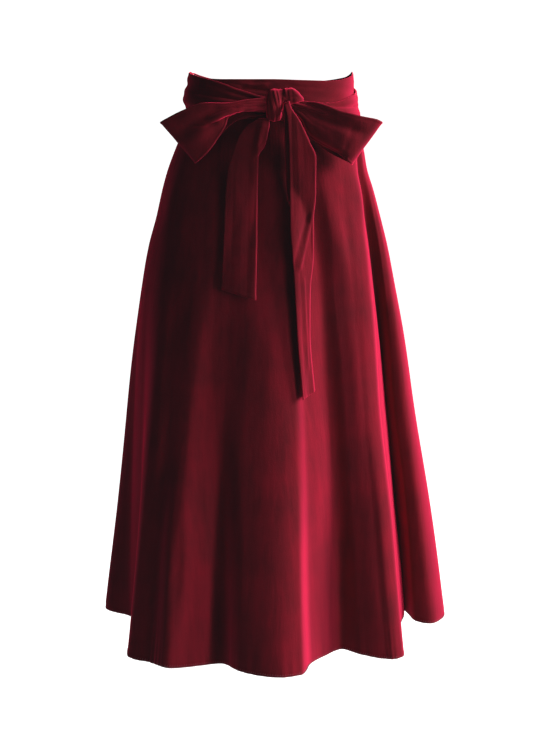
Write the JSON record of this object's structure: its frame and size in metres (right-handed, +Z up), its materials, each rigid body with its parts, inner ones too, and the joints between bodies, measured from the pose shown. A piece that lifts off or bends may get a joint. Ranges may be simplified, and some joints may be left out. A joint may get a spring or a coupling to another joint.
{
  "type": "midi skirt",
  "caption": "Flared velvet midi skirt, worn shape with soft falling folds, a high waistband and a wide sash tied in a bow with hanging tails at the front.",
  "frame": {"origin": "middle of the waist, level with the top of the waistband at the sides", "axes": "+Z up, the front and its bow face -Y, +X towards the viewer's right as the front is seen"},
  "size_m": [0.5351, 0.5535, 0.8397],
  "materials": {
    "panel_velvet": "deep wine-red velvet pile, dark face on and bright at grazing light",
    "band_velvet": "the same velvet, smooth over the firm band",
    "sash_velvet": "the same velvet, softly crumpled by the knot"
  },
  "bodies": {
    "root": {"skirt_front": "panel_velvet", "skirt_back_left": "panel_velvet", "skirt_back_right": "panel_velvet", "waistband_front": "band_velvet", "waistband_back_left": "band_velvet", "waistband_back_right": "band_velvet", "sash_wrap": "sash_velvet", "sash_knot": "sash_velvet", "bow_loop_left": "sash_velvet", "bow_loop_right": "sash_velvet", "sash_tail_left": "sash_velvet", "sash_tail_right": "sash_velvet"}
  },
  "joints": []
}
